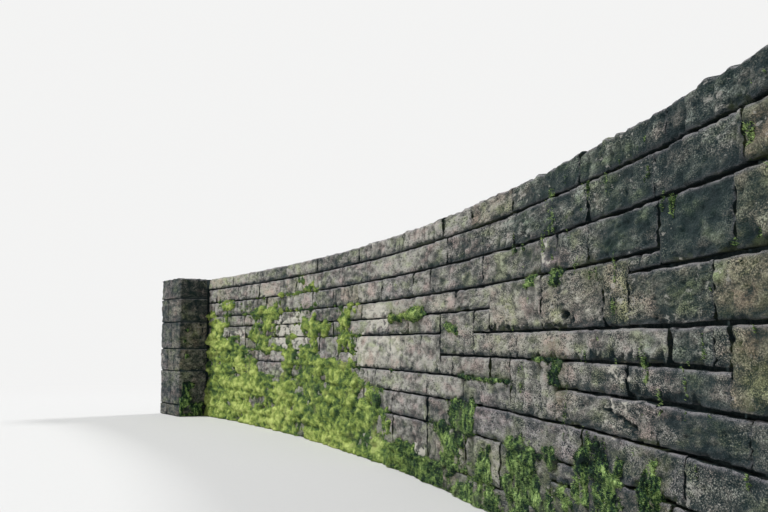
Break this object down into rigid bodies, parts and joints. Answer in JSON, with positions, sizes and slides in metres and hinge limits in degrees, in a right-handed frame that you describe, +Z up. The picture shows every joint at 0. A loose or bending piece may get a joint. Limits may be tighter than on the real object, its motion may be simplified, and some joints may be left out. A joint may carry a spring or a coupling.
{
  "type": "curved stone garden wall with end pier",
  "caption": "Curved garden wall of coursed, rough-faced stone blocks with deep bed joints, moss at the foot and a square pier at one end.",
  "frame": {"origin": "middle of the whole length and depth, at the base", "axes": "+X along the wall to its free end, -Y out of the hollow front face, +Z up"},
  "size_m": [7.4364, 1.0433, 1.002],
  "materials": {
    "stone": "rough-faced, weathered grey-brown sandstone",
    "mortar": "raked, dark and damp lime mortar",
    "moss": "soft yellow-green moss cushions"
  },
  "bodies": {
    "root": {"bay_1_base_course": "stone", "bay_1_lower_courses": "stone", "bay_1_middle_courses": "stone", "bay_1_upper_courses": "stone", "bay_1_top_courses": "stone", "bay_2_base_course": "stone", "bay_2_lower_courses": "stone", "bay_2_middle_courses": "stone", "bay_2_upper_courses": "stone", "bay_2_top_courses": "stone", "bay_3_base_course": "stone", "bay_3_lower_courses": "stone", "bay_3_middle_courses": "stone", "bay_3_upper_courses": "stone", "bay_3_top_courses": "stone", "bay_4_base_course": "stone", "bay_4_lower_courses": "stone", "bay_4_middle_courses": "stone", "bay_4_upper_courses": "stone", "bay_4_top_courses": "stone", "bay_5_base_course": "stone", "bay_5_lower_courses": "stone", "bay_5_middle_courses": "stone", "bay_5_upper_courses": "stone", "bay_5_top_courses": "stone", "bay_6_base_course": "stone", "bay_6_lower_courses": "stone", "bay_6_middle_courses": "stone", "bay_6_upper_courses": "stone", "bay_6_top_courses": "stone", "pier_base_course": "stone", "pier_lower_courses": "stone", "pier_middle_courses": "stone", "pier_upper_courses": "stone", "pier_top_courses": "stone"}
  },
  "joints": []
}
